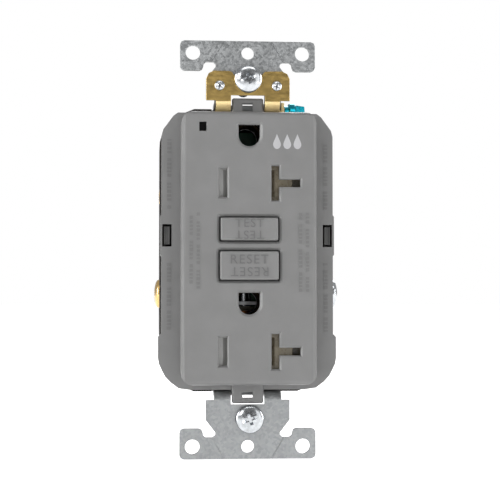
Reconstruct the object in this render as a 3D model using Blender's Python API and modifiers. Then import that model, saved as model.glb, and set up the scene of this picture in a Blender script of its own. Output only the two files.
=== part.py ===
"""A 20 amp duplex ground-fault receptacle with its mounting strap, in metres.

The origin is the centre of the device on the wall plane. The face looks along -Y,
the body reaches into the wall along +Y, +X is to the right and +Z is up.
All dimensions below are in millimetres and are turned into metres by MM.
"""

import math

import bmesh
import bpy
from mathutils import Euler, Matrix, Vector

MM = 0.001
GAP = 0.3

# Face and its openings
FACE_WIDTH = 33.0
FACE_HEIGHT = 66.4
FACE_FRONT_Y = -6.7
FACE_WALL = 1.8
FACE_CORNER = 3.0
FACE_EDGE = 1.0
SIDE_WALL = 1.6

OUTLET_UPPER_Z = 15.75
OUTLET_LOWER_Z = -25.10
OUTLETS = (("upper", OUTLET_UPPER_Z), ("lower", OUTLET_LOWER_Z))
BLADE_X = 6.35
HOT_SLOT = (2.0, 7.0)
NEUTRAL_SLOT = (1.9, 8.5)
NEUTRAL_ARM_END_X = 12.5
NEUTRAL_ARM_HEIGHT = 1.9
GROUND_ABOVE_BLADES = 11.9
GROUND_RADIUS = 2.6
GROUND_HOLE_TOP = 2.35
GROUND_HOLE_SIDE = 0.35
LENS_CENTRE = (-11.3, 29.4)
LENS_SIZE = (1.75, 2.27)

TEST_Z = 4.54
TEST_OPENING = (14.7, 6.2)
TEST_CAP = (13.9, 5.5)
TEST_FOOT_END_Y = 1.0
RESET_Z = -4.29
RESET_OPENING = (14.9, 7.6)
RESET_CAP = (14.2, 6.9)
RESET_SHAFT_RADIUS = 1.2
RESET_SHAFT_END_Y = 15.9
BUTTON_FRONT_Y = -7.3
BUTTON_FLANGE = 0.75

# Flange and skirt of the cover, right half, from the top centre line to the bottom one
FLANGE_FRONT_Y = -0.5
FLANGE_WALL = 1.5
SKIRT_BACK_Y = 5.2
FLANGE_HALF = (
    (17.2, 33.6), (18.3, 32.8), (19.7, 30.9), (20.8, 29.4), (21.2, 27.9),
    (21.2, 8.4), (21.5, 8.0), (21.5, -1.4), (21.2, -1.8), (21.2, -21.0), (21.95, -21.7),
    (21.95, -26.9), (21.7, -28.3), (21.0, -29.8), (20.2, -31.3), (18.9, -32.7),
    (16.9, -34.2), (14.0, -34.6),
)
TAB_HALF_WIDTH = 3.85
TAB_TOP_Z = 37.2
TAB_BOTTOM_Z = -37.9
TAB_Y = (-1.25, 0.6)
SNAP_WINDOW = (18.7, 21.0, 0.5, 6.0)

# Rear housing
HOUSING_FRONT_Y = 5.5
HOUSING_BACK_Y = 25.9
HOUSING_WALL = 1.5
HOUSING_HALF = (
    (13.0, 35.4), (16.4, 34.0), (19.2, 31.6), (21.0, 29.2), (21.6, 27.0),
    (21.6, -27.0), (21.0, -29.2), (19.2, -31.6), (16.4, -34.0), (13.0, -35.4),
)
BACK_WIRE_RADIUS = 1.25
BACK_WIRE_X = 16.6

# Mounting strap
STRAP_THICKNESS = 1.3
STRAP_HALF_WIDTH = 16.7
STRAP_HALF_LENGTH = 51.4
EAR_HOLE = (13.55, 48.42)
EAR_HOLE_RADIUS = 1.84
PLATE_HOLE_RADIUS = 1.6
STRAP_BEND_Z = 35.6
STRAP_BEND_RADIUS = 1.5
STRAP_DEEP_Y = 6.35
STRAP_RAIL = 3.4
STRAP_EYE = 4.2
STRAP_HALF = (
    (15.7, 51.4), (16.4, 51.1), (16.7, 50.4), (16.7, 45.0), (16.4, 44.3),
    (15.7, 44.0), (12.0, 44.0), (11.3, 44.3), (11.0, 45.0), (10.9, 45.7), (10.3, 46.2),
    (8.6, 46.2), (7.9, 45.6), (7.9, 45.0), (10.3, 41.9), (10.3, 37.1), (8.25, 37.1),
    (8.25, 31.0),
)

# Mounting screws and their retainers
MOUNT_SCREW_Z = 41.67
MOUNT_SCREW_X = {"upper": 0.0, "lower": 0.45}
MOUNT_SEAT_Y = {"upper": -2.6, "lower": -1.6}
MOUNT_HEAD_RADIUS = 3.45
MOUNT_HEAD_HEIGHT = 1.9
MOUNT_SHANK_RADIUS = 1.7
MOUNT_SHANK_LENGTH = 19.0

# Ground plate, ground screw and ground contacts
BRASS_THICKNESS = 0.7
BRASS_Y = -1.95
BRASS_BEND_RADIUS = 2.0
BRASS_BEND_CENTRE = (0.05, 36.3)
BRASS_END_Y = 4.5
BRASS_SCREW_CLEARANCE = 3.0
BRASS_HALF = (
    (3.9, 43.4), (4.3, 43.7), (8.4, 43.8), (9.7, 43.2), (10.3, 41.9), (10.3, 36.5),
    (7.9, 36.5), (7.9, 33.0), (4.2, 33.0), (4.2, 37.8),
)
GROUND_SCREW = (4.8, 33.3)
GROUND_SCREW_HEAD_X = 10.6
GROUND_HEAD_RADIUS = 3.6
GROUND_WASHER_RADIUS = 3.0
RIVET = (7.05, 40.0, 1.3)

# Shutters
SHUTTER_Y = (-4.6, -2.5)
SHUTTER_INNER_X = 4.7
SHUTTER_OUTER_X = 7.9
SHUTTER_HALF_HEIGHT = 4.6
SHUTTER_TAIL_X = 10.7

# Frame between the outlets and the mechanism
MID_FRAME_Y = (7.4, 8.9)
STRIP_X = (4.6, 8.1)
STRIP_Y = (0.3, 7.1)
STRIP_METAL = 0.6
STRIP_Z = (-29.7, 20.4)

# Terminals: name, side, height, how far the screw is backed out
TERMINAL_Y = 14.2
TERMINALS = (
    ("hot_line", -1, 14.0, 0.0),
    ("hot_load", -1, -11.0, 1.1),
    ("neutral_line", 1, 14.0, 0.0),
    ("neutral_load", 1, -11.0, 2.5),
)
TERMINAL_PLATE_X = (18.6, 19.6)
TERMINAL_HEAD_RADIUS = 3.6
TERMINAL_HEAD_HEIGHT = 1.9
TERMINAL_SHANK_RADIUS = 1.9
TERMINAL_SHANK_LENGTH = 7.4
CLAMP_THICKNESS = 1.1
CLAMP_OPEN = {0.0: 0.0, 1.1: 1.2, 2.5: 1.2}

# Mechanism and electronics behind the mid frame
BOARD_Y = (16.4, 18.0)
CARRIAGE_Y = (11.3, 13.3)
COIL_Y = 12.6
COIL_Z = (-26.6, -14.2)
TOROID_Z = 16.0
TOROID_RADII = (4.4, 8.5)
LATCH_Y = (15.4, 16.0)

GREY = (0.25, 0.25, 0.25)
BLACK = (0.02, 0.018, 0.016)
STEEL = (0.55, 0.56, 0.57)
BRASS = (0.55, 0.38, 0.14)
KHAKI = (0.18, 0.16, 0.09)
TEAL = (0.01, 0.33, 0.43)
COPPER = (0.6, 0.25, 0.1)
GREEN_BOARD = (0.02, 0.16, 0.07)
CERAMIC_BLUE = (0.05, 0.12, 0.4)

for leftover in list(bpy.data.objects):
    bpy.data.objects.remove(leftover, do_unlink=True)

parts = bpy.data.collections.new("gfci_outlet")
cutters = bpy.data.collections.new("cutters")
bpy.context.scene.collection.children.link(parts)
bpy.context.scene.collection.children.link(cutters)

# Turns a drawing in X and Z into one that is extruded along Y
FACING_FRONT = Euler((math.pi / 2, 0.0, 0.0)).to_matrix().to_4x4()
# Turns a drawing in Y and Z into one that is extruded along X
FACING_SIDE = Matrix(((0, 0, 1, 0), (1, 0, 0, 0), (0, 1, 0, 0), (0, 0, 0, 1)))
POINTING = {
    "-Y": Euler((math.pi / 2, 0.0, 0.0)),
    "+X": Euler((0.0, math.pi / 2, 0.0)),
    "-X": Euler((0.0, -math.pi / 2, 0.0)),
    "+Z": Euler((0.0, 0.0, 0.0)),
}


def material(name, colour, roughness, metallic=0.0):
    made = bpy.data.materials.new(name)
    made.use_nodes = True
    shader = made.node_tree.nodes["Principled BSDF"]
    shader.inputs["Base Color"].default_value = (*colour, 1.0)
    shader.inputs["Roughness"].default_value = roughness
    shader.inputs["Metallic"].default_value = metallic
    return made


def finish_part(item, look):
    """Put an object among the parts, with a material of its own."""
    cutters.objects.unlink(item)
    parts.objects.link(item)
    item.hide_render = False
    item.display_type = "TEXTURED"
    item.data.materials.clear()
    item.data.materials.append(material(item.name, *look))
    return item


def new_object(name, bm, location=(0, 0, 0), turn=None):
    """Every shape starts as a wire guide, and finish_part makes it a part."""
    mesh = bpy.data.meshes.new(name)
    bm.to_mesh(mesh)
    bm.free()
    item = bpy.data.objects.new(name, mesh)
    item.location = Vector(location) * MM
    if turn is not None:
        item.rotation_euler = turn
    cutters.objects.link(item)
    item.hide_render = True
    item.display_type = "WIRE"
    return item


def box(name, x, y, z, edge=0.0, segments=2):
    """A box between the given ends on each axis, with all its edges rounded."""
    bm = bmesh.new()
    bmesh.ops.create_cube(bm, size=1.0)
    spans = Vector((x[1] - x[0], y[1] - y[0], z[1] - z[0])) * MM
    bmesh.ops.scale(bm, vec=spans, verts=bm.verts)
    if edge:
        bmesh.ops.bevel(
            bm, geom=bm.edges[:], offset=edge * MM, segments=segments, profile=0.5, affect="EDGES"
        )
    return new_object(name, bm, ((x[0] + x[1]) / 2, (y[0] + y[1]) / 2, (z[0] + z[1]) / 2))


def cylinder(name, radius, start, end, along, centre, sides=24):
    """A cylinder along one axis, from start to end, centred on the other two axes."""
    bm = bmesh.new()
    bmesh.ops.create_cone(
        bm, cap_ends=True, segments=sides, radius1=radius * MM, radius2=radius * MM,
        depth=(end - start) * MM,
    )
    middle = (start + end) / 2
    where = {
        "X": (middle, centre[0], centre[1]),
        "Y": (centre[0], middle, centre[1]),
        "Z": (centre[0], centre[1], middle),
    }[along]
    turn = {"X": POINTING["+X"], "Y": POINTING["-Y"], "Z": POINTING["+Z"]}[along]
    item = new_object(name, bm, where, turn)
    item.data.shade_smooth()
    item.data.set_sharp_from_angle(angle=math.radians(40))
    return item


def solid_from_curve(name, curve, matrix):
    """Turn a filled curve into a closed mesh."""
    drawn = bpy.data.objects.new(name + "_drawing", curve)
    drawn.matrix_world = matrix
    cutters.objects.link(drawn)
    graph = bpy.context.evaluated_depsgraph_get()
    mesh = bpy.data.meshes.new_from_object(drawn.evaluated_get(graph))
    mesh.name = name
    bm = bmesh.new()
    bm.from_mesh(mesh)
    bmesh.ops.remove_doubles(bm, verts=bm.verts, dist=0.000001)
    bmesh.ops.recalc_face_normals(bm, faces=bm.faces)
    bm.to_mesh(mesh)
    bm.free()
    item = bpy.data.objects.new(name, mesh)
    item.matrix_world = matrix
    bpy.data.objects.remove(drawn, do_unlink=True)
    cutters.objects.link(item)
    item.hide_render = True
    item.display_type = "WIRE"
    return item


def add_path(curve, points, closed):
    spline = curve.splines.new("POLY")
    spline.points.add(len(points) - 1)
    for slot, point in zip(spline.points, points):
        filled = list(point) + [0.0] * (3 - len(point))
        slot.co = (filled[0] * MM, filled[1] * MM, filled[2] * MM, 1.0)
    spline.use_cyclic_u = closed


def prism(name, outlines, low, high, side=False):
    """Outlines drawn in X and Z (or Y and Z if side is true), extruded between two ends.

    The first outline is the outside and the others are holes in it."""
    curve = bpy.data.curves.new(name, "CURVE")
    curve.dimensions = "2D"
    curve.fill_mode = "BOTH"
    curve.extrude = (high - low) / 2 * MM
    for outline in outlines:
        add_path(curve, outline, True)
    middle = (low + high) / 2 * MM
    if side:
        matrix = Matrix.Translation((middle, 0.0, 0.0)) @ FACING_SIDE
    else:
        matrix = Matrix.Translation((0.0, middle, 0.0)) @ FACING_FRONT
    return solid_from_curve(name, curve, matrix)


def bent_sheet(name, path, half_width, thickness):
    """A strip of sheet metal whose side view follows a path in Y and Z."""
    curve = bpy.data.curves.new(name, "CURVE")
    curve.dimensions = "2D"
    curve.fill_mode = "NONE"
    curve.extrude = half_width * MM
    add_path(curve, path, False)
    item = solid_from_curve(name, curve, FACING_SIDE)
    sheet = item.modifiers.new("sheet", "SOLIDIFY")
    sheet.thickness = thickness * MM
    sheet.offset = 0.0
    sheet.use_even_offset = True
    return item


def wire(name, points, radius, look):
    """A round wire through the given points, such as a coil."""
    curve = bpy.data.curves.new(name, "CURVE")
    curve.dimensions = "3D"
    curve.bevel_depth = radius * MM
    curve.bevel_resolution = 1
    curve.use_fill_caps = True
    add_path(curve, points, False)
    item = solid_from_curve(name, curve, Matrix.Identity(4))
    item.data.shade_smooth()
    return finish_part(item, look)


def coil_points(radius, start, end, turns, along, centre, per_turn=10):
    """Points along a helix whose axis is X, Y or Z."""
    points = []
    count = int(turns * per_turn)
    for index in range(count + 1):
        angle = 2 * math.pi * index / per_turn
        reach = start + (end - start) * index / count
        first = centre[0] + radius * math.cos(angle)
        second = centre[1] + radius * math.sin(angle)
        points.append({
            "X": (reach, first, second),
            "Y": (first, reach, second),
            "Z": (first, second, reach),
        }[along])
    return points


def turned(name, profile, location, turn, steps=24):
    """A profile of radius and height, top to bottom, turned about the local Z axis."""
    bm = bmesh.new()
    corners = [bm.verts.new((radius * MM, 0.0, height * MM)) for radius, height in profile]
    for start, end in zip(corners, corners[1:]):
        bm.edges.new((start, end))
    item = new_object(name, bm, location, turn)
    screw = item.modifiers.new("turn", "SCREW")
    screw.steps = steps
    screw.render_steps = steps
    screw.use_merge_vertices = True
    screw.merge_threshold = 0.00001
    screw.use_smooth_shade = True
    return item


def combine(item, operation, tools):
    for tool in tools:
        step = item.modifiers.new(tool.name, "BOOLEAN")
        step.operation = operation
        step.object = tool
        step.solver = "EXACT"
    return item


def cut(item, *tools):
    return combine(item, "DIFFERENCE", tools)


def join(item, *tools):
    return combine(item, "UNION", tools)


def keep_inside(item, tool):
    return combine(item, "INTERSECT", (tool,))


def both_sides(half):
    """The whole outline from its right half, listed from the top down."""
    left = [(-x, z) for x, z in reversed(half)]
    return list(half) + left


def inset(outline, distance):
    """The outline moved inwards by a constant wall thickness."""
    count = len(outline)
    moved = []
    for index in range(count):
        before = Vector(outline[index - 1])
        here = Vector(outline[index])
        after = Vector(outline[(index + 1) % count])
        first = (here - before).normalized()
        second = (after - here).normalized()
        normal_first = Vector((first.y, -first.x))
        normal_second = Vector((second.y, -second.x))
        bisector = (normal_first + normal_second).normalized()
        reach = distance / max(bisector.dot(normal_first), 0.3)
        moved.append(tuple(here + bisector * reach))
    return moved


def rounded_rectangle(width, height, radius, centre=(0.0, 0.0), per_corner=5):
    """Corner arcs of a rectangle, clockwise from the top right."""
    points = []
    for sign_x, sign_z, start in ((1, 1, 90), (1, -1, 0), (-1, -1, -90), (-1, 1, -180)):
        for step in range(per_corner):
            angle = math.radians(start - 90 * step / (per_corner - 1))
            points.append((
                centre[0] + sign_x * (width / 2 - radius) + radius * math.cos(angle),
                centre[1] + sign_z * (height / 2 - radius) + radius * math.sin(angle),
            ))
    return points


def ground_outline(centre_z):
    """A hole for the ground pin, with a flat top, straight sides and a round bottom."""
    count = 12
    points = [
        (-GROUND_RADIUS, centre_z + GROUND_HOLE_TOP), (GROUND_RADIUS, centre_z + GROUND_HOLE_TOP),
    ]
    for index in range(count + 1):
        angle = -math.pi * index / count
        points.append((
            GROUND_RADIUS * math.cos(angle),
            centre_z - GROUND_HOLE_SIDE + GROUND_RADIUS * math.sin(angle),
        ))
    return points


def t_outline(centre_z):
    """The neutral slot with its side arm for a horizontal blade."""
    left = BLADE_X - NEUTRAL_SLOT[0] / 2
    right = BLADE_X + NEUTRAL_SLOT[0] / 2
    tall = NEUTRAL_SLOT[1] / 2
    arm = NEUTRAL_ARM_HEIGHT / 2
    tip = NEUTRAL_ARM_END_X
    corners = (
        (left, tall), (right, tall), (right, arm), (tip, arm),
        (tip, -arm), (right, -arm), (right, -tall), (left, -tall),
    )
    return [(x, centre_z + z) for x, z in corners]


def rectangle(width, height, centre):
    x, z = centre
    return [
        (x - width / 2, z + height / 2), (x + width / 2, z + height / 2),
        (x + width / 2, z - height / 2), (x - width / 2, z - height / 2),
    ]


PLASTIC_LOOK = (GREY, 0.45)
HOUSING_LOOK = (BLACK, 0.5)
STEEL_LOOK = (STEEL, 0.35, 1.0)
BRASS_LOOK = (BRASS, 0.3, 1.0)

# Cutters that more than one piece shares
ground_bay = box("ground_screw_bay", (8.3, 15.2), (0.8, 8.8), (29.2, 39.0))


def build_front_cover():
    """The decorator face, its flange and skirt, and the two tabs that hold the strap."""
    cover = prism("front_cover", [both_sides(FLANGE_HALF)], FLANGE_FRONT_Y, SKIRT_BACK_Y)
    face = box(
        "face_block", (-FACE_WIDTH / 2, FACE_WIDTH / 2), (FACE_FRONT_Y, 0.75),
        (-FACE_HEIGHT / 2, FACE_HEIGHT / 2), FACE_EDGE,
    )
    corners = prism(
        "face_corners", [rounded_rectangle(FACE_WIDTH + 0.02, FACE_HEIGHT + 0.02, FACE_CORNER)],
        FACE_FRONT_Y - 1, 3.0,
    )
    keep_inside(face, corners)
    join(cover, face)
    for name, reach in (("upper", TAB_TOP_Z), ("lower", TAB_BOTTOM_Z)):
        ends = sorted((reach, math.copysign(32.6, reach)))
        tab = box("tab_" + name, (-TAB_HALF_WIDTH, TAB_HALF_WIDTH), TAB_Y, ends, 0.3, 1)
        join(cover, tab)

    skirt_room = prism(
        "skirt_room", [inset(both_sides(FLANGE_HALF), FLANGE_WALL)], 1.0, SKIRT_BACK_Y + 1,
    )
    face_room = box(
        "face_room", (-FACE_WIDTH / 2 + SIDE_WALL, FACE_WIDTH / 2 - SIDE_WALL),
        (FACE_FRONT_Y + FACE_WALL, 3.0),
        (-FACE_HEIGHT / 2 + SIDE_WALL, FACE_HEIGHT / 2 - SIDE_WALL),
    )
    cut(cover, skirt_room, face_room, ground_bay)

    holes = []
    for name, z in OUTLETS:
        holes.append(prism(
            "hot_slot_" + name, [rectangle(*HOT_SLOT, (-BLADE_X, z))], FACE_FRONT_Y - 1, -4.0,
        ))
        holes.append(prism("neutral_slot_" + name, [t_outline(z)], FACE_FRONT_Y - 1, -4.0))
        holes.append(prism(
            "ground_hole_" + name, [ground_outline(z + GROUND_ABOVE_BLADES)],
            FACE_FRONT_Y - 1, -4.0,
        ))
    holes.append(prism("lens_window", [rectangle(*LENS_SIZE, LENS_CENTRE)], FACE_FRONT_Y - 1, -4.0))
    holes.append(prism(
        "test_opening", [rectangle(*TEST_OPENING, (0.0, TEST_Z))], FACE_FRONT_Y - 1, -4.0,
    ))
    holes.append(prism(
        "reset_opening", [rectangle(*RESET_OPENING, (0.0, RESET_Z))], FACE_FRONT_Y - 1, -4.0,
    ))
    left, right, low, high = SNAP_WINDOW
    for side in (-1, 1):
        ends = sorted((side * left, side * right))
        holes.append(box("snap_window_%s" % ("left" if side < 0 else "right"), ends,
                         (-2.0, SKIRT_BACK_Y + 1), (low, high)))
    holes.append(box("tab_window_upper", (-1.3, 1.3), (-3.0, 3.0), (34.0, 35.9)))
    holes.append(box("tab_window_lower", (-1.3, 1.3), (-3.0, 3.0), (-36.6, -35.1)))
    cut(cover, *holes)
    return finish_part(cover, PLASTIC_LOOK)


def build_rear_housing():
    """The tub behind the wall, with terminal windows, wire holes and two snap hooks."""
    tub = prism("rear_housing", [both_sides(HOUSING_HALF)], HOUSING_FRONT_Y, HOUSING_BACK_Y)
    room = prism(
        "housing_room", [inset(both_sides(HOUSING_HALF), HOUSING_WALL)],
        HOUSING_FRONT_Y - 1, HOUSING_BACK_Y - HOUSING_WALL,
    )
    strap_way = box("strap_way", (-8.6, 8.6), (HOUSING_FRONT_Y - 1, 7.3), (-40.0, 40.0))
    cut(tub, room, strap_way, ground_bay)
    for side, word in ((-1, "left"), (1, "right")):
        hook = box("snap_hook_" + word, sorted((side * 19.1, side * 20.6)), (0.2, 7.1), (1.0, 5.5))
        join(tub, hook)
    for name, side, z, _ in TERMINALS:
        window = box(
            "window_" + name, sorted((side * 19.9, side * 23.0)), (9.9, 18.5), (z - 4.4, z + 4.4),
        )
        cut(tub, window)
        for step in (-3.0, 3.0):
            cut(tub, cylinder(
                "wire_hole_%s_%d" % (name, step), BACK_WIRE_RADIUS, HOUSING_BACK_Y - 3,
                HOUSING_BACK_Y + 1, "Y", (side * BACK_WIRE_X, z + step), 12,
            ))
    return finish_part(tub, HOUSING_LOOK)


def build_mid_frame():
    """The insulating plate that carries the contact strips."""
    outline = inset(both_sides(HOUSING_HALF), HOUSING_WALL + 0.4)
    plate = prism("mid_frame", [outline], *MID_FRAME_Y)
    holes = [ground_bay]
    for name, z in OUTLETS:
        for side, word in ((-1, "hot"), (1, "neutral")):
            span = sorted((side * 4.9, side * 7.8))
            holes.append(box("pocket_%s_%s" % (word, name), span, (6.0, 10.0), (z - 4.6, z + 4.6)))
        holes.append(cylinder(
            "ground_pocket_" + name, 3.0, 6.0, 10.0, "Y", (0.0, z + GROUND_ABOVE_BLADES), 16,
        ))
    holes.append(cylinder("shaft_way", 1.6, 6.0, 10.0, "Y", (0.0, RESET_Z), 16))
    for side, word in ((-1, "hot"), (1, "neutral")):
        holes.append(cylinder(
            "contact_way_" + word, 1.9, 6.0, 10.0, "Y", (side * BLADE_X, RESET_Z), 16,
        ))
    cut(plate, *holes)
    return finish_part(plate, (BLACK, 0.6))


def strap_path():
    """Side view of the strap: ear, bend, leg, deep middle run, leg, bend, ear."""
    points = [(-STRAP_THICKNESS / 2, STRAP_HALF_LENGTH + 1)]
    radius = STRAP_BEND_RADIUS
    shallow = -STRAP_THICKNESS / 2
    steps = 4
    bend = STRAP_BEND_Z
    for sign in (1, -1):
        upper = [
            (shallow + radius - radius * math.cos(a), bend + radius - radius * math.sin(a))
            for a in (math.pi / 2 * k / steps for k in range(steps + 1))
        ]
        lower = [
            (STRAP_DEEP_Y - radius + radius * math.sin(a), bend - radius + radius * math.cos(a))
            for a in (math.pi / 2 * k / steps for k in range(steps + 1))
        ]
        bends = [(y, sign * z) for y, z in upper + lower]
        points += bends if sign > 0 else list(reversed(bends))
    points.append((-STRAP_THICKNESS / 2, -STRAP_HALF_LENGTH - 1))
    return points


def strap_outline():
    """Front view of the strap, the same at both ends."""
    upper = OUTLET_UPPER_Z + GROUND_ABOVE_BLADES
    lower = OUTLET_LOWER_Z + GROUND_ABOVE_BLADES
    half = list(STRAP_HALF)
    half += [(STRAP_EYE, 31.0), (STRAP_EYE, upper - 3.8), (STRAP_RAIL, upper - 4.6)]
    half += [(STRAP_RAIL, lower + 4.6), (STRAP_EYE, lower + 3.8)]
    half += [(STRAP_EYE, lower - 3.8), (STRAP_RAIL, lower - 4.6), (STRAP_RAIL, -31.0)]
    half += [(x, -z) for x, z in reversed(STRAP_HALF)]
    return both_sides(half)


def build_strap():
    band = bent_sheet("strap", strap_path(), STRAP_HALF_WIDTH + 2, STRAP_THICKNESS)
    outline = prism("strap_shape", [strap_outline()], -5.0, 12.0)
    keep_inside(band, outline)
    holes = []
    for sign, word, reach in ((1, "upper", 38.2), (-1, "lower", 38.2)):
        ends = sorted((sign * 30.0, sign * reach))
        holes.append(box("tab_cutout_" + word, (-4.15, 4.15), (-3.0, 4.4), ends))
        for x in (-EAR_HOLE[0], EAR_HOLE[0]):
            holes.append(cylinder(
                "ear_hole_%s_%d" % (word, x), EAR_HOLE_RADIUS, -3.0, 2.0, "Y",
                (x, sign * EAR_HOLE[1]), 20,
            ))
        holes.append(cylinder(
            "plate_hole_" + word, PLATE_HOLE_RADIUS, -3.0, 2.0, "Y", (0.0, sign * EAR_HOLE[1]), 20,
        ))
        holes.append(prism(
            "screw_slot_" + word,
            [rounded_rectangle(6.2, 4.4, 2.19, (0.0, sign * MOUNT_SCREW_Z))], -3.0, 2.0,
        ))
    for name, z in OUTLETS:
        holes.append(cylinder(
            "pin_way_" + name, 2.75, 4.0, 8.0, "Y", (0.0, z + GROUND_ABOVE_BLADES), 20,
        ))
    holes.append(cylinder("strap_shaft_way", 1.6, 4.0, 8.0, "Y", (0.0, RESET_Z), 16))
    for side in (-1, 1):
        holes.append(cylinder(
            "rivet_way_%d" % side, 1.0, -3.0, 2.0, "Y", (side * RIVET[0], RIVET[1]), 12,
        ))
    cut(band, *holes)
    return finish_part(band, STEEL_LOOK)


def build_ground_plate():
    """The brass plate on the upper strap, with bent legs and the ground screw's tab."""
    steps = 6
    path = [(BRASS_Y, 46.0)]
    for k in range(steps + 1):
        angle = math.pi / 2 * k / steps
        path.append((
            BRASS_BEND_CENTRE[0] - BRASS_BEND_RADIUS * math.cos(angle),
            BRASS_BEND_CENTRE[1] - BRASS_BEND_RADIUS * math.sin(angle),
        ))
    path.append((BRASS_END_Y, path[-1][1]))
    band = bent_sheet("ground_plate", path, 13.0, BRASS_THICKNESS)
    steps = 12
    around = []
    for k in range(steps + 1):
        angle = math.radians(175 + 190 * k / steps)
        around.append((
            BRASS_SCREW_CLEARANCE * math.cos(angle),
            MOUNT_SCREW_Z + BRASS_SCREW_CLEARANCE * math.sin(angle),
        ))
    left = [(-x, z) for x, z in reversed(BRASS_HALF)]
    outline = list(BRASS_HALF) + left + around
    keep_inside(band, prism("ground_plate_shape", [outline], -4.0, 12.0))
    leg_z = (33.95, 34.65)
    shelf = box("ground_shelf", (7.4, 9.3), (1.4, 2.5), leg_z)
    tab = box("ground_tab", (8.6, 9.3), (1.4, 7.8), (30.0, 36.6))
    join(band, shelf, tab)
    cut(band, cylinder("ground_tab_hole", 2.05, 8.0, 10.0, "X", GROUND_SCREW, 20))
    for side in (-1, 1):
        cut(band, cylinder(
            "rivet_hole_%d" % side, 1.0, -3.0, 2.0, "Y", (side * RIVET[0], RIVET[1]), 12,
        ))
    return finish_part(band, BRASS_LOOK)


def build_rivets():
    x, z, radius = RIVET
    for side, word in ((-1, "left"), (1, "right")):
        profile = (
            (0.0, 1.0), (radius * 0.6, 0.9), (radius, 0.45), (radius, 0.0), (0.7, 0.0),
            (0.7, -2.6), (0.0, -2.6),
        )
        rivet = turned("rivet_" + word, profile, (side * x, -2.6, z), POINTING["-Y"], 16)
        finish_part(rivet, (STEEL, 0.25, 1.0))


def cross_recess(name, size, depth, location, turn):
    """Two crossed bars that cut a screwdriver recess, in the screw's own frame."""
    tools = []
    for index, spin in enumerate((0.0, math.pi / 2)):
        bm = bmesh.new()
        bmesh.ops.create_cube(bm, size=1.0)
        bmesh.ops.scale(bm, vec=Vector((size[0], size[1], depth * 2)) * MM, verts=bm.verts)
        bmesh.ops.rotate(bm, verts=bm.verts, matrix=Matrix.Rotation(spin, 3, "Z"))
        tools.append(new_object("%s_%d" % (name, index), bm, location, turn))
    return tools


def build_mounting_screws():
    for sign, word in ((1, "upper"), (-1, "lower")):
        radius = MOUNT_HEAD_RADIUS
        height = MOUNT_HEAD_HEIGHT
        profile = (
            (0.0, height), (radius * 0.5, height * 0.93), (radius * 0.85, height * 0.65),
            (radius, height * 0.3), (radius, 0.0), (MOUNT_SHANK_RADIUS, 0.0),
            (MOUNT_SHANK_RADIUS, -MOUNT_SHANK_LENGTH + 1.2), (0.8, -MOUNT_SHANK_LENGTH),
            (0.0, -MOUNT_SHANK_LENGTH),
        )
        where = (MOUNT_SCREW_X[word], MOUNT_SEAT_Y[word], sign * MOUNT_SCREW_Z)
        screw = turned("mounting_screw_" + word, profile, where, POINTING["-Y"])
        top = (where[0], where[1] - height, where[2])
        cut(screw, *cross_recess("recess_" + word, (4.2, 0.9), 0.9, top, POINTING["-Y"]))
        finish_part(screw, (STEEL, 0.2, 1.0))
        plate = box(
            "screw_retainer_" + word, (where[0] - 3.6, where[0] + 3.6), (0.3, 0.9),
            (where[2] - 3.2, where[2] + 3.2), 0.15, 1,
        )
        hole = cylinder("retainer_hole_" + word, 2.05, -1.0, 2.0, "Y", (where[0], where[2]), 16)
        cut(plate, hole)
        finish_part(plate, (BLACK, 0.6))


def build_ground_screw():
    """The ground screw points along X, with a washer head on its right."""
    radius = GROUND_HEAD_RADIUS
    profile = (
        (0.0, 4.0), (radius * 0.75, 4.0), (radius * 0.9, 3.2), (radius, 1.6), (radius, 0.0),
        (GROUND_WASHER_RADIUS, 0.0), (GROUND_WASHER_RADIUS, -1.0), (1.75, -1.0),
        (1.75, -2.2), (0.0, -2.2),
    )
    where = (GROUND_SCREW_HEAD_X, *GROUND_SCREW)
    screw = turned("ground_screw", profile, where, POINTING["+X"])
    top = (where[0] + 4.0, where[1], where[2])
    cut(screw, *cross_recess("ground_recess", (3.6, 0.9), 1.0, top, POINTING["+X"]))
    finish_part(screw, (TEAL, 0.3, 0.6))


def build_buttons():
    """The two buttons with their hidden flanges, and the shaft behind the reset one."""
    for word, z, cap, foot_radius, foot_end in (
        ("test", TEST_Z, TEST_CAP, 1.0, TEST_FOOT_END_Y),
        ("reset", RESET_Z, RESET_CAP, RESET_SHAFT_RADIUS, RESET_SHAFT_END_Y),
    ):
        button = box(
            word + "_button", (-cap[0] / 2, cap[0] / 2), (BUTTON_FRONT_Y, -3.7),
            (z - cap[1] / 2, z + cap[1] / 2), 0.35,
        )
        wide = cap[0] / 2 + BUTTON_FLANGE
        tall = cap[1] / 2 + BUTTON_FLANGE
        flange = box(word + "_flange", (-wide, wide), (-4.5, -3.4), (z - tall, z + tall))
        foot = cylinder(word + "_foot", foot_radius, -4.0, foot_end, "Y", (0.0, z), 16)
        join(button, flange, foot)
        finish_part(button, PLASTIC_LOOK)


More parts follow.
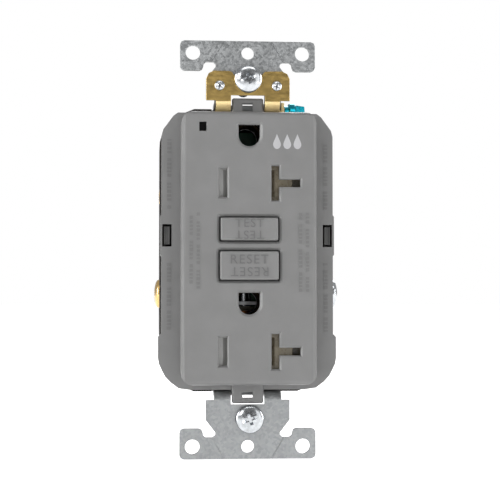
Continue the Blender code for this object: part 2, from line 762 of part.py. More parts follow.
def build_springs():
    reset = coil_points(1.9, -0.6, 5.0, 4, "Y", (0.0, RESET_Z))
    wire("reset_spring", reset, 0.25, STEEL_LOOK)
    plunger = coil_points(1.5, -26.3, -23.9, 3, "Z", (0.0, COIL_Y))
    wire("plunger_spring", plunger, 0.2, STEEL_LOOK)
    for name, z in OUTLETS:
        points = coil_points(0.8, -4.0, 4.0, 5, "X", (-3.5, z), 8)
        wire("shutter_spring_" + name, points, 0.2, STEEL_LOOK)
    path = [(-7.4, 6.0), (-6.2, 6.0), (-6.2, 3.3), (6.2, 3.3), (6.2, 6.0), (7.4, 6.0)]
    leaf = bpy.data.curves.new("test_spring", "CURVE")
    leaf.dimensions = "2D"
    leaf.fill_mode = "NONE"
    leaf.extrude = 1.6 * MM
    add_path(leaf, path, False)
    item = solid_from_curve("test_spring", leaf, Matrix.Translation((0, 0, TEST_Z * MM)))
    sheet = item.modifiers.new("sheet", "SOLIDIFY")
    sheet.thickness = 0.3 * MM
    sheet.offset = 0.0
    finish_part(item, BRASS_LOOK)


def build_shutters():
    """Sliding shutters with a ramp under each blade slot."""
    low_y, high_y = SHUTTER_Y
    for name, z in OUTLETS:
        tall = SHUTTER_HALF_HEIGHT
        for side, word, look in ((-1, "hot", ((0.1, 0.1, 0.1), 0.5)), (1, "neutral", (KHAKI, 0.35))):
            span = sorted((side * SHUTTER_INNER_X, side * SHUTTER_OUTER_X))
            shutter = box("%s_shutter_%s" % (word, name), span, (low_y, high_y), (z - tall, z + tall))
            if side > 0:
                tail = box(
                    "tail_" + name, (SHUTTER_OUTER_X - 1.0, SHUTTER_TAIL_X), (low_y, high_y),
                    (z - 1.5, z + 1.5),
                )
                join(shutter, tail)
            ramp = prism(
                "ramp_%s_%s" % (word, name),
                [[(side * 5.2, -5.6), (side * 7.2, -5.6), (side * 5.2, -3.4)]], z - 3.4, z + 3.4,
            )
            ramp.matrix_world = Matrix.Translation((0.0, 0.0, z * MM))
            cut(shutter, ramp)
            finish_part(shutter, look)


def build_lens():
    x, z = LENS_CENTRE
    wide = LENS_SIZE[0] / 2 - 0.1
    tall = LENS_SIZE[1] / 2 - 0.1
    lens = box("indicator_lens", (x - wide, x + wide), (-6.35, -3.6), (z - tall, z + tall))
    finish_part(lens, ((0.01, 0.01, 0.01), 0.15))
    lamp = cylinder("indicator_lamp", 1.3, -3.2, 0.4, "Y", LENS_CENTRE, 16)
    finish_part(lamp, ((0.7, 0.72, 0.6), 0.2))


def build_contacts():
    """Brass strips with blade jaws, and the ground pin sleeves on the strap."""
    low_x, high_x = STRIP_X
    for side, word in ((-1, "hot"), (1, "neutral")):
        strip = box(word + "_contact_strip", sorted((side * low_x, side * high_x)), STRIP_Y, STRIP_Z)
        inner = sorted((side * (low_x + STRIP_METAL), side * (high_x - STRIP_METAL)))
        channel = box(word + "_channel", inner, (-1.0, STRIP_Y[1] - STRIP_METAL), (-40.0, 40.0))
        wide = sorted((side * (low_x - 1), side * (high_x + 1)))
        between = box(
            word + "_between", wide, (-1.0, STRIP_Y[1] - STRIP_METAL),
            (OUTLET_LOWER_Z + 4.6, OUTLET_UPPER_Z - 4.6),
        )
        tools = [channel, between]
        for name, z in OUTLETS:
            tools.append(box("%s_way_%s" % (word, name), inner, (5.0, 9.0), (z - 4.0, z + 4.0)))
            if side > 0:
                tools.append(box("arm_way_" + name, (6.5, 10.0), (-1.0, 5.4), (z - 1.4, z + 1.4)))
        cut(strip, *tools)
        finish_part(strip, BRASS_LOOK)
    for name, z in OUTLETS:
        centre = (0.0, z + GROUND_ABOVE_BLADES)
        sleeve = cylinder("ground_contact_" + name, 3.45, -2.0, 5.4, "Y", centre, 20)
        bore = cylinder("ground_bore_" + name, 2.8, -3.0, 6.0, "Y", centre, 20)
        slit = box("ground_slit_" + name, (-0.5, 0.5), (-3.0, 3.5), (centre[1], centre[1] + 5.0))
        cut(sleeve, bore, slit)
        finish_part(sleeve, BRASS_LOOK)


def build_terminals():
    """Side screws, the plates they bear on, and the clamps they draw up."""
    for name, side, z, backed_out in TERMINALS:
        plate_x = sorted((side * TERMINAL_PLATE_X[0], side * TERMINAL_PLATE_X[1]))
        plate = box("terminal_plate_" + name, plate_x, (9.6, 18.8), (z - 4.2, z + 4.2))
        hole = cylinder("plate_way_" + name, 2.2, 15.0, 24.0, "X", (TERMINAL_Y, z), 16)
        if side < 0:
            hole.location.x = -hole.location.x
        look = BRASS_LOOK if side < 0 else (STEEL, 0.3, 1.0)
        cut(plate, hole)
        finish_part(plate, look)

        outer = TERMINAL_PLATE_X[0] - GAP - CLAMP_OPEN[backed_out]
        clamp_x = sorted((side * outer, side * (outer - CLAMP_THICKNESS)))
        clamp = box("clamp_plate_" + name, clamp_x, (10.9, 17.5), (z - 3.6, z + 3.6), 0.2, 1)
        way = cylinder("clamp_way_" + name, 2.2, 12.0, 20.0, "X", (TERMINAL_Y, z), 16)
        if side < 0:
            way.location.x = -way.location.x
        cut(clamp, way)
        finish_part(clamp, (STEEL, 0.4, 1.0))

        radius = TERMINAL_HEAD_RADIUS
        height = TERMINAL_HEAD_HEIGHT
        profile = (
            (0.0, height), (radius * 0.7, height * 0.95), (radius * 0.95, height * 0.6),
            (radius, height * 0.4), (radius, 0.0), (TERMINAL_SHANK_RADIUS, 0.0),
            (TERMINAL_SHANK_RADIUS, -TERMINAL_SHANK_LENGTH + 0.6),
            (TERMINAL_SHANK_RADIUS - 0.6, -TERMINAL_SHANK_LENGTH), (0.0, -TERMINAL_SHANK_LENGTH),
        )
        seat = TERMINAL_PLATE_X[1] + GAP + backed_out
        direction = POINTING["+X"] if side > 0 else POINTING["-X"]
        screw = turned("terminal_screw_" + name, profile, (side * seat, TERMINAL_Y, z), direction, 20)
        top = (side * (seat + height), TERMINAL_Y, z)
        cut(screw, *cross_recess("recess_" + name, (4.4, 1.0), 0.9, top, direction))
        finish_part(screw, look)


def build_mechanism():
    """Board, current sensors, trip solenoid, latch and the moving contacts."""
    board = box("circuit_board", (-12.0, 12.0), BOARD_Y, (-30.0, 31.0))
    cut(board, cylinder("board_shaft_way", 1.8, 15.0, 20.0, "Y", (0.0, RESET_Z), 16))
    finish_part(board, (GREEN_BOARD, 0.4))
    for name, span in (("sensing_toroid", (9.3, 12.5)), ("neutral_toroid", (12.8, 16.0))):
        ring = cylinder(name, TOROID_RADII[1], *span, "Y", (0.0, TOROID_Z), 28)
        cut(ring, cylinder(name + "_bore", TOROID_RADII[0], 8.0, 17.0, "Y", (0.0, TOROID_Z), 20))
        finish_part(ring, (COPPER, 0.4, 0.6))

    low, high = COIL_Z
    spool = ((0.0, high), (3.3, high), (3.3, high - 0.8), (2.6, high - 0.8), (2.6, low + 0.8),
             (3.3, low + 0.8), (3.3, low), (0.0, low))
    bobbin = turned("solenoid_bobbin", spool, (0.0, COIL_Y, 0.0), POINTING["+Z"], 20)
    cut(bobbin, cylinder("bobbin_bore", 2.2, low - 1, high + 1, "Z", (0.0, COIL_Y), 20))
    finish_part(bobbin, ((0.75, 0.73, 0.65), 0.5))
    coil = cylinder("solenoid_coil", 3.2, low + 1.1, high - 1.1, "Z", (0.0, COIL_Y), 20)
    cut(coil, cylinder("coil_bore", 2.9, low, high, "Z", (0.0, COIL_Y), 20))
    finish_part(coil, (COPPER, 0.35, 0.8))
    yoke = box("solenoid_frame", (-4.7, 4.7), (9.4, 15.8), (low - 1.3, high + 1.3))
    cut(yoke, box("yoke_room", (-3.7, 3.7), (8.0, 17.0), (low - GAP, high + GAP)))
    cut(yoke, cylinder("yoke_way", 2.3, high, high + 3.0, "Z", (0.0, COIL_Y), 20))
    finish_part(yoke, STEEL_LOOK)
    plunger = cylinder("plunger", 1.9, -23.5, -10.8, "Z", (0.0, COIL_Y), 20)
    finish_part(plunger, (STEEL, 0.3, 1.0))
    latch = box("latch_plate", (-2.6, 2.6), LATCH_Y, (-10.5, 0.2))
    join(latch, box("latch_tab", (-2.6, 2.6), (11.0, LATCH_Y[1]), (-10.5, -9.9)))
    slot = rounded_rectangle(3.4, 6.6, 1.69, (0.0, RESET_Z + 0.8))
    cut(latch, prism("latch_slot", [slot], 14.9, 17.0))
    finish_part(latch, STEEL_LOOK)

    carriage = box("contact_carriage", (-13.0, 13.0), CARRIAGE_Y, (-6.8, -1.8), 0.3, 1)
    cut(carriage, cylinder("carriage_way", 1.6, 10.0, 15.0, "Y", (0.0, RESET_Z), 16))
    finish_part(carriage, ((0.6, 0.58, 0.5), 0.5))
    for side, word in ((-1, "hot"), (1, "neutral")):
        arm = box("moving_contact_" + word, sorted((side * 5.0, side * 12.6)), (10.2, 11.0), (-6.3, -2.3))
        point = cylinder("contact_point_" + word, 1.3, 7.45, 10.6, "Y", (side * BLADE_X, RESET_Z), 16)
        join(arm, point)
        finish_part(arm, BRASS_LOOK)


def build_components():
    """The larger parts on the back of the board."""
    disc = cylinder("varistor", 4.8, 18.3, 21.6, "Y", (-6.6, 24.0), 24)
    finish_part(disc, (CERAMIC_BLUE, 0.35))
    block = box("capacitor", (1.5, 11.0), (18.3, 23.8), (17.0, 27.0), 0.4, 1)
    finish_part(block, ((0.55, 0.09, 0.05), 0.35))
    chip = box("control_chip", (-5.0, 5.0), (18.3, 20.0), (3.0, 7.0), 0.15, 1)
    finish_part(chip, (BLACK, 0.4))
    switch = box("thyristor", (4.0, 9.0), (18.3, 22.8), (-12.0, -8.0), 0.2, 1)
    finish_part(switch, (BLACK, 0.45))
    resistor = cylinder("resistor", 1.3, -9.5, -2.5, "X", (19.8, -14.0), 16)
    finish_part(resistor, ((0.45, 0.3, 0.16), 0.4))


build_front_cover()
build_rear_housing()
build_mid_frame()
build_strap()
build_ground_plate()
build_rivets()
build_mounting_screws()
build_ground_screw()
build_buttons()
build_springs()
build_shutters()
build_lens()
build_contacts()
build_terminals()
build_mechanism()
build_components()
bpy.context.view_layer.update()
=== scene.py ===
"""Looks for the 20 amp ground-fault receptacle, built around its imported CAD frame."""

import math

import bmesh
import bpy
from mathutils import Euler, Matrix, Vector


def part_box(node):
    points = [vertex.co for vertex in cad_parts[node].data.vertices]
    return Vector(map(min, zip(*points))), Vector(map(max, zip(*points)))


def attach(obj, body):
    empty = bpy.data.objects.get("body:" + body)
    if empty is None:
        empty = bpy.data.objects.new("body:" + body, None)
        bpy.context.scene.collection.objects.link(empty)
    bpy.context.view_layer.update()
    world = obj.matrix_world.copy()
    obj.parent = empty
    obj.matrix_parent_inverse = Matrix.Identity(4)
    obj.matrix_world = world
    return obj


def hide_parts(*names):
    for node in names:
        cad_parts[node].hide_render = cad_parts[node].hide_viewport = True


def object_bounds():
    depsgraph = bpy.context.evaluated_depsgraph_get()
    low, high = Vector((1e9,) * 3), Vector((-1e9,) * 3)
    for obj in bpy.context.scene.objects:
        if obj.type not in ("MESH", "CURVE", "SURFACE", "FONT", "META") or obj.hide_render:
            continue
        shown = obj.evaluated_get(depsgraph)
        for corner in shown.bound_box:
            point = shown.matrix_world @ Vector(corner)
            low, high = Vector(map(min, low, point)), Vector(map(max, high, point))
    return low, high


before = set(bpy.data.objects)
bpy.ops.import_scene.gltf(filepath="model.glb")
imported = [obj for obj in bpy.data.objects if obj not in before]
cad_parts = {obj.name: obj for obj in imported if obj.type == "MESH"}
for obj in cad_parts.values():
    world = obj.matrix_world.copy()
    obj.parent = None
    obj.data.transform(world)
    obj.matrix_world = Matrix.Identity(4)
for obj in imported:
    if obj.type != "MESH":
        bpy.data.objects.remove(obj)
cad_low, cad_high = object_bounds()

MM = 0.001
OUTLETS = ("upper", "lower")
SMOOTH_ANGLE = math.radians(32)
MOULDING_ANGLE = math.radians(24)
FACING_FRONT = Euler((math.pi / 2, 0.0, 0.0)).to_matrix().to_4x4()
TURN = {
    "-Y": Euler((math.pi / 2, 0.0, 0.0)),
    "+X": Euler((0.0, math.pi / 2, 0.0)),
    "-X": Euler((0.0, -math.pi / 2, 0.0)),
}

# Openings in the face, in millimetres as are all sizes below
HOT_SLOT = (2.0, 7.0)
NEUTRAL_SLOT = (1.9, 8.5)
NEUTRAL_ARM = (5.2, 1.9)
BLADE_X = 6.35
GROUND_HOLE = (2.6, 2.35, 0.35)
GROUND_CORNER = 0.35
SLOT_RIM = 0.4
GROUND_RIM = 0.6
BUTTON_RIM = 0.55
OPENING_DEPTH = 2.6
FACE_EDGE_RADIUS = 0.6
BUTTON_OPENING = {"test": (14.7, 6.2), "reset": (14.9, 7.6)}

# Buttons and their lettering
BUTTON_CAP = {"test": (13.9, 5.5), "reset": (14.2, 6.9)}
BUTTON_CAP_DEPTH = 3.0
BUTTON_SKIRT = (2.8, 3.9)
BUTTON_SHAFT_START = 3.5
BUTTON_SHAFT_RADIUS = {"test": 1.0, "reset": 1.2}
BUTTON_WORD = {"test": ("TEST", (6.9, 2.1)), "reset": ("RESET", (9.1, 2.2))}
WORD_GAP = 0.42
LETTER_HEIGHT = 0.13

# Marks on the face and the flange
PRINT_X = (12.4, 14.1)
PRINT_TOP = 8.5
PRINT_BOTTOM = -10.0
FLANGE_Y = -0.5
FLANGE_PRINT_INSET = 2.6
FLANGE_PRINT_TOPS = (27.0, -3.5)
FLANGE_PRINT_LENGTH = 17.0
DROP_X = (6.7, 9.2, 11.7)
DROP_Z = 25.2
DROP_SIZE = (0.95, 1.15, 1.3)

# Snap hooks behind the flange's windows: each rib's inner X, outer X and front Y
HOOK_RIBS = ((19.15, 19.7, -0.05), (19.7, 20.2, 0.12), (20.2, 20.55, -0.05))
HOOK_BACK_Y = 0.3
HOOK_Z = (1.05, 5.45)

# Rear housing
LABEL_X = (-9.0, 9.0)
LABEL_Z = (-6.5, 9.5)
GAUGE_X = (-8.0, 8.0)
GAUGE_Z = (-21.4, -19.6)
BACK_GROOVE_X = 11.5
BACK_GROOVE_Z = (-27.0, 27.0)
WIRE_HOLE_X = 16.6
WIRE_HOLE_LIFT = 3.0
RIB_Y = (9.5, 21.5)
RIB_Z = (-1.4, 0.2, 1.8, 3.4, 5.0)

# Strap, brass plate and screws
SCORE_START = (8.9, 46.1)
SCORE_END = (5.6, 51.6)
SCORE_WIDTH = 0.22
SCORE_DEPTH = 0.36
BEND_BELOW_RIVETS = 3.6
THREAD_PITCH = 0.794
MOUNTING_HEAD = (3.45, 1.9)
TERMINAL_HEAD = (3.6, 1.9)

# Lights: place in metres, width and height in metres, power in watts
LIGHTS = {
    "key": ((-0.55, -0.75, 0.35), (0.35, 0.35), 1.6),
    "fill": ((0.6, -0.75, 0.2), (0.4, 0.6), 1.1),
    "back": ((0.3, 0.9, 0.6), (0.6, 0.6), 6.0),
    "top": ((0.05, -0.4, 0.65), (0.6, 0.2), 1.1),
    "left": ((-0.75, -0.16, 0.05), (0.2, 0.7), 7.0),
    "right": ((0.75, -0.16, 0.05), (0.2, 0.7), 3.2),
}
CAMERA_PLACE = (-24.0, -314.0, -13.0)
CAMERA_AIM = (0.6, -0.65, -0.3)
CAMERA_LENS = 91.9


def limits(node):
    """A CAD node's lowest and highest corner, in millimetres."""
    low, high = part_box(node)
    return low / MM, high / MM


def middle(node):
    low, high = limits(node)
    return (low + high) / 2


# ---------------------------------------------------------------- materials


class Nodes:
    """A short way to build a node material."""

    def __init__(self, name):
        self.material = bpy.data.materials.new(name)
        self.material.use_nodes = True
        self.tree = self.material.node_tree
        self.shader = self.tree.nodes["Principled BSDF"]
        place = self.tree.nodes.new("ShaderNodeTexCoord")
        self.place = place.outputs["Object"]

    def node(self, kind, **values):
        made = self.tree.nodes.new(kind)
        for name, value in values.items():
            if name in made.inputs:
                made.inputs[name].default_value = value
            else:
                setattr(made, name, value)
        return made

    def link(self, start, end):
        self.tree.links.new(start, end)

    def noise(self, scale, detail=3.0, stretch=(1.0, 1.0, 1.0), rough=0.5):
        mapping = self.node("ShaderNodeMapping", Scale=stretch)
        self.link(self.place, mapping.inputs["Vector"])
        made = self.node("ShaderNodeTexNoise", Scale=scale, Detail=detail, Roughness=rough)
        self.link(mapping.outputs["Vector"], made.inputs["Vector"])
        return made.outputs["Fac"]

    def ramp(self, value, stops):
        made = self.node("ShaderNodeValToRGB")
        elements = made.color_ramp.elements
        while len(elements) < len(stops):
            elements.new(0.5)
        for element, (where, colour) in zip(elements, stops):
            element.position = where
            element.color = (*colour, 1.0)
        self.link(value, made.inputs["Fac"])
        return made.outputs["Color"]

    def tint(self, value, colour, low, high):
        """Let a noise move the base colour between two strengths."""
        stops = ((0.3, shade(colour, low)), (0.7, shade(colour, high)))
        self.link(self.ramp(value, stops), self.shader.inputs["Base Color"])

    def spread(self, value, low, high, start=0.3, end=0.7):
        made = self.node("ShaderNodeMapRange")
        made.inputs["From Min"].default_value = start
        made.inputs["From Max"].default_value = end
        made.inputs["To Min"].default_value = low
        made.inputs["To Max"].default_value = high
        self.link(value, made.inputs["Value"])
        return made.outputs["Result"]

    def bump(self, height, strength, distance):
        made = self.node("ShaderNodeBump", Strength=strength, Distance=distance)
        self.link(height, made.inputs["Height"])
        self.link(made.outputs["Normal"], self.shader.inputs["Normal"])


def shade(colour, factor):
    return tuple(min(channel * factor, 1.0) for channel in colour)


def plastic(
    name, colour, rough=(0.42, 0.52), grain=2600.0, strength=0.25, variation=0.05, gloss=0.5
):
    """Moulded plastic: a fine spark-eroded grain and a slight unevenness of tone."""
    made = Nodes(name)
    made.shader.inputs["Specular IOR Level"].default_value = gloss
    made.tint(made.noise(180.0, 4.0), colour, 1 - variation, 1 + variation)
    made.link(made.spread(made.noise(900.0, 3.0), *rough), made.shader.inputs["Roughness"])
    made.bump(made.noise(grain, 3.0), strength, 0.00003)
    return made.material


def metal(
    name, colour, rough, grain=900.0, stretch=(1.0, 1.0, 1.0), strength=0.2, variation=0.15,
    metallic=1.0,
):
    """Bare metal with a direction to its grain and patches of tone."""
    made = Nodes(name)
    made.shader.inputs["Metallic"].default_value = metallic
    made.tint(made.noise(grain * 0.45, 5.0, stretch), colour, 1 - variation, 1 + variation)
    made.link(made.spread(made.noise(grain, 4.0, stretch), *rough), made.shader.inputs["Roughness"])
    made.bump(made.noise(grain * 1.6, 4.0, stretch), strength, 0.00004)
    return made.material


def galvanised(name):
    """Zinc-coated sheet: crystal spangles in several greys, lightly rolled."""
    made = Nodes(name)
    made.shader.inputs["Metallic"].default_value = 0.85
    cells = made.node("ShaderNodeTexVoronoi", Scale=1800.0)
    made.link(made.place, cells.inputs["Vector"])
    grey = made.node("ShaderNodeSeparateColor")
    made.link(cells.outputs["Color"], grey.inputs["Color"])
    cloud = made.noise(220.0, 6.0)
    mix = made.node("ShaderNodeMath", operation="ADD")
    made.link(grey.outputs["Red"], mix.inputs[0])
    made.link(cloud, mix.inputs[1])
    half = made.node("ShaderNodeMath", operation="MULTIPLY")
    made.link(mix.outputs["Value"], half.inputs[0])
    half.inputs[1].default_value = 0.5
    colour = made.ramp(
        half.outputs["Value"],
        ((0.25, (0.29, 0.30, 0.305)), (0.5, (0.34, 0.35, 0.355)), (0.8, (0.39, 0.40, 0.405))),
    )
    made.link(colour, made.shader.inputs["Base Color"])
    made.link(made.spread(half.outputs["Value"], 0.38, 0.55), made.shader.inputs["Roughness"])
    made.bump(made.noise(1500.0, 5.0, (1.0, 1.0, 0.5)), 0.3, 0.00005)
    return made.material


def plated(name, colour, rough=(0.12, 0.25)):
    """Bright plating with fine pits, as on a small machine screw."""
    made = Nodes(name)
    made.shader.inputs["Metallic"].default_value = 1.0
    made.tint(made.noise(700.0, 5.0), colour, 0.75, 1.1)
    made.link(made.spread(made.noise(1600.0, 3.0), *rough), made.shader.inputs["Roughness"])
    made.bump(made.noise(1200.0, 4.0), 0.35, 0.00006)
    return made.material


GREY = (0.166, 0.166, 0.165)
LOOKS = {
    "cover": plastic("grey_cover", GREY),
    "button": plastic("grey_button", shade(GREY, 1.03)),
    # Painted shade: the raised words are a darker grey than the button, standing in for the shade
    # at their edges
    "letter": plastic("letter_grey", shade(GREY, 0.74), variation=0.02),
    # Painted shade: the raised dashes are a darker grey than the cover, standing in for the shade
    # at their edges
    "fine_print": plastic("fine_print_grey", shade(GREY, 0.84), variation=0.02),
    "hook": plastic("hook_grey", (0.07, 0.07, 0.069), (0.3, 0.42)),
    "housing": plastic("black_housing", (0.016, 0.013, 0.012), (0.35, 0.5)),
    "strap": galvanised("galvanised_strap"),
    "brass": metal("brass_plate", (0.56, 0.39, 0.135), (0.28, 0.42), 700.0, (1.0, 1.0, 3.0)),
    # Painted highlight: a lighter, partly diffuse brass that stands in for the light caught by the
    # plate's leg bends
    "brass_painted_highlight": metal("brass_painted_highlight", (0.97, 0.70, 0.34), (0.3, 0.4), 700.0, metallic=0.25),
    # Painted shade: near-black brass for the ground contacts, so the ground holes read as dark as
    # their deep shade
    "dark_brass": metal("shadowed_brass", (0.02, 0.014, 0.008), (0.6, 0.75), 700.0),
    "bright_brass": metal("bright_brass", (0.75, 0.52, 0.22), (0.18, 0.3), 700.0),
    "zinc": plated("bright_zinc", (0.56, 0.58, 0.60)),
    "teal": metal("teal_plating", (0.012, 0.34, 0.44), (0.22, 0.36), 900.0, strength=0.3),
    "hot_shutter": plastic("shutter_grey", (0.42, 0.42, 0.41), (0.3, 0.42)),
    "khaki": plastic("shutter_khaki", (0.175, 0.15, 0.105), (0.22, 0.34)),
    "lens": plastic("dark_lens", (0.003, 0.003, 0.003), (0.35, 0.45), strength=0.02, gloss=0.06),
    "white_ink": plastic("white_ink", (0.38, 0.38, 0.39), (0.5, 0.6), strength=0.1),
    "steel": metal("plain_steel", (0.42, 0.43, 0.44), (0.3, 0.45)),
    "board": plastic("board_green", (0.015, 0.12, 0.055), (0.3, 0.42)),
    "copper": metal("copper_wire", (0.55, 0.22, 0.09), (0.25, 0.4), 2500.0, (0.1, 0.1, 3.0)),
    "ivory": plastic("ivory_nylon", (0.58, 0.55, 0.46)),
    "blue": plastic("blue_coating", (0.03, 0.08, 0.32), (0.2, 0.3)),
    "red": plastic("red_film", (0.42, 0.05, 0.03), (0.15, 0.25)),
    "tan": plastic("tan_body", (0.36, 0.23, 0.12), (0.25, 0.4)),
    "chip": plastic("chip_black", (0.02, 0.02, 0.022), (0.4, 0.55)),
    "lamp": plastic("lamp_clear", (0.6, 0.62, 0.5), (0.08, 0.15), strength=0.05),
}


def paint(item, look):
    item.data.materials.clear()
    item.data.materials.append(LOOKS[look])
    return item


# ---------------------------------------------------------------- shapes


def place_mesh(name, bm, location=(0, 0, 0), turn=None):
    mesh = bpy.data.meshes.new(name)
    bm.to_mesh(mesh)
    bm.free()
    item = bpy.data.objects.new(name, mesh)
    item.location = Vector(location) * MM
    if turn is not None:
        item.rotation_euler = turn
    bpy.context.scene.collection.objects.link(item)
    return item


def add_cube(bm, size):
    """Add a box of this size about the origin and return its corners."""
    corners = bmesh.ops.create_cube(bm, size=1.0)["verts"]
    bmesh.ops.scale(bm, vec=Vector(size) * MM, verts=corners)
    return corners


def block(name, x, y, z, edge=0.0, segments=3):
    """A box between two limits on each axis, its edges rounded if asked."""
    bm = bmesh.new()
    add_cube(bm, (x[1] - x[0], y[1] - y[0], z[1] - z[0]))
    if edge:
        bmesh.ops.bevel(
            bm, geom=bm.edges[:], offset=edge * MM, segments=segments, profile=0.5,
            affect="EDGES",
        )
    return place_mesh(name, bm, ((x[0] + x[1]) / 2, (y[0] + y[1]) / 2, (z[0] + z[1]) / 2))


def cone(name, radii, depth, location, turn, sides=48):
    bm = bmesh.new()
    bmesh.ops.create_cone(
        bm, cap_ends=True, segments=sides, radius1=radii[0] * MM, radius2=radii[1] * MM,
        depth=depth * MM,
    )
    return place_mesh(name, bm, location, turn)


def layered(name, rings):
    """A closed solid through rings of equal length, each (outline in X and Z, Y)."""
    bm = bmesh.new()
    loops = []
    for outline, y in rings:
        loops.append([bm.verts.new((x * MM, y * MM, z * MM)) for x, z in outline])
    count = len(loops[0])
    for first, second in zip(loops, loops[1:]):
        for index in range(count):
            after = (index + 1) % count
            bm.faces.new((first[index], first[after], second[after], second[index]))
    bm.faces.new(loops[0])
    bm.faces.new(loops[-1])
    bmesh.ops.recalc_face_normals(bm, faces=bm.faces)
    return place_mesh(name, bm)


def offset(outline, distance):
    """The clockwise outline moved outwards by a distance."""
    count = len(outline)
    moved = []
    for index in range(count):
        before = Vector(outline[index - 1])
        here = Vector(outline[index])
        after = Vector(outline[(index + 1) % count])
        first = (here - before).normalized()
        second = (after - here).normalized()
        out_first = Vector((-first.y, first.x))
        out_second = Vector((-second.y, second.x))
        bisector = (out_first + out_second).normalized()
        reach = distance / max(bisector.dot(out_first), 0.4)
        moved.append(tuple(here + bisector * reach))
    return moved


def rectangle(size, centre):
    x, z = centre
    wide = size[0] / 2
    tall = size[1] / 2
    return [(x - wide, z + tall), (x + wide, z + tall), (x + wide, z - tall), (x - wide, z - tall)]


def arc(centre, radius, start, end, count):
    """Points on a circle between two angles in degrees, both ends included."""
    points = []
    for step in range(count):
        angle = math.radians(start + (end - start) * step / (count - 1))
        points.append((
            centre[0] + radius * math.cos(angle), centre[1] + radius * math.sin(angle),
        ))
    return points


def rounded(size, radius, centre, per_corner=6):
    """A rectangle with rounded corners, clockwise."""
    points = []
    for sign_x, sign_z, start in ((1, 1, 90), (1, -1, 0), (-1, -1, -90), (-1, 1, -180)):
        corner_x = centre[0] + sign_x * (size[0] / 2 - radius)
        corner_z = centre[1] + sign_z * (size[1] / 2 - radius)
        points += arc((corner_x, corner_z), radius, start, start - 90, per_corner)
    return points


def ground_outline(centre):
    """Flat top with small corners, straight sides and a round bottom, clockwise."""
    radius, top, side = GROUND_HOLE
    x, z = centre
    inset = radius - GROUND_CORNER
    corner_z = z + top - GROUND_CORNER
    return (
        arc((x - inset, corner_z), GROUND_CORNER, 180, 90, 4)
        + arc((x + inset, corner_z), GROUND_CORNER, 90, 0, 4)
        + arc((x, z - side), radius, 0, -180, 21)
    )


def t_outline(centre):
    """An upright slot with an arm to the right, clockwise."""
    x, z = centre
    left = x - NEUTRAL_SLOT[0] / 2
    right = x + NEUTRAL_SLOT[0] / 2
    tall = NEUTRAL_SLOT[1] / 2
    arm = NEUTRAL_ARM[1] / 2
    tip = right + NEUTRAL_ARM[0]
    corners = (
        (left, tall), (right, tall), (right, arm), (tip, arm),
        (tip, -arm), (right, -arm), (right, -tall), (left, -tall),
    )
    return [(px, z + pz) for px, pz in corners]


def modify(item, operation, *tools):
    for tool in tools:
        step = item.modifiers.new(tool.name, "BOOLEAN")
        step.operation = operation
        step.object = tool
        step.solver = "EXACT"
    return item


def settle(item, *tools):
    """Write an object's modifiers into its mesh and remove the tools they used."""
    bpy.context.view_layer.update()
    graph = bpy.context.evaluated_depsgraph_get()
    mesh = bpy.data.meshes.new_from_object(item.evaluated_get(graph))
    item.modifiers.clear()
    item.data = mesh
    for tool in tools:
        bpy.data.objects.remove(tool, do_unlink=True)
    return item


def soften(item, width, segments=3, angle=30.0):
    """Round the sharp edges and shade the rest smooth."""
    if width:
        step = item.modifiers.new("rounded_edges", "BEVEL")
        step.width = width * MM
        step.segments = segments
        step.limit_method = "ANGLE"
        step.angle_limit = math.radians(angle)
        step.use_clamp_overlap = True
    return even_out(item, SMOOTH_ANGLE)


def even_out(item, sharp_from):
    """Shade smooth up to an angle, with the large flat faces deciding beside small ones."""
    item.data.shade_smooth()
    item.data.set_sharp_from_angle(angle=sharp_from)
    step = item.modifiers.new("even_shading", "WEIGHTED_NORMAL")
    step.weight = 100
    step.keep_sharp = True
    return item


def copy_of(node, name):
    """A working copy of a CAD node with its flat faces merged back together."""
    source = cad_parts[node]
    bm = bmesh.new()
    bm.from_mesh(source.data)
    bmesh.ops.remove_doubles(bm, verts=bm.verts, dist=0.000002)
    bmesh.ops.dissolve_limit(bm, angle_limit=math.radians(1.0), verts=bm.verts, edges=bm.edges)
    return place_mesh(name, bm)


def finish_piece(item, look, body, *nodes):
    """Give a piece its look, its body and the CAD nodes that it takes the place of."""
    paint(item, look)
    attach(item, body)
    if nodes:
        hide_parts(*nodes)
    return item


# ---------------------------------------------------------------- face and cover

cover_low, cover_high = limits("front_cover")
FACE_Y = cover_low.y
outlet_z = {name: middle("hot_shutter_" + name).z for name in OUTLETS}
ground_z = {name: middle("ground_contact_" + name).z for name in OUTLETS}
button_at = {name: (0.0, middle(name + "_button").z) for name in ("test", "reset")}


def flared(name, outline, rim):
    """A cutter that sinks a bevelled rim around an opening and the opening itself."""
    overshoot = 0.6
    front = offset(outline, rim + overshoot)
    return layered(name, (
        (front, FACE_Y - overshoot), (outline, FACE_Y + rim), (outline, FACE_Y + OPENING_DEPTH),
    ))


def round_face_edge(cover):
    """Give the outer edge of the face its generous rounding."""
    bm = bmesh.new()
    bm.from_mesh(cover.data)
    front = [
        face for face in bm.faces
        if face.normal.y < -0.99 and abs(face.calc_center_median().y / MM - FACE_Y) < 0.01
    ]
    edges = []
    for face in front:
        for edge in face.edges:
            centre = (edge.verts[0].co + edge.verts[1].co) / 2 / MM
            if abs(centre.x) > 15.5 or abs(centre.z) > 31.5:
                edges.append(edge)
    bmesh.ops.bevel(
        bm, geom=list(set(edges)), offset=FACE_EDGE_RADIUS * MM, segments=5, profile=0.5,
        affect="EDGES", clamp_overlap=True,
    )
    bm.to_mesh(cover.data)
    bm.free()


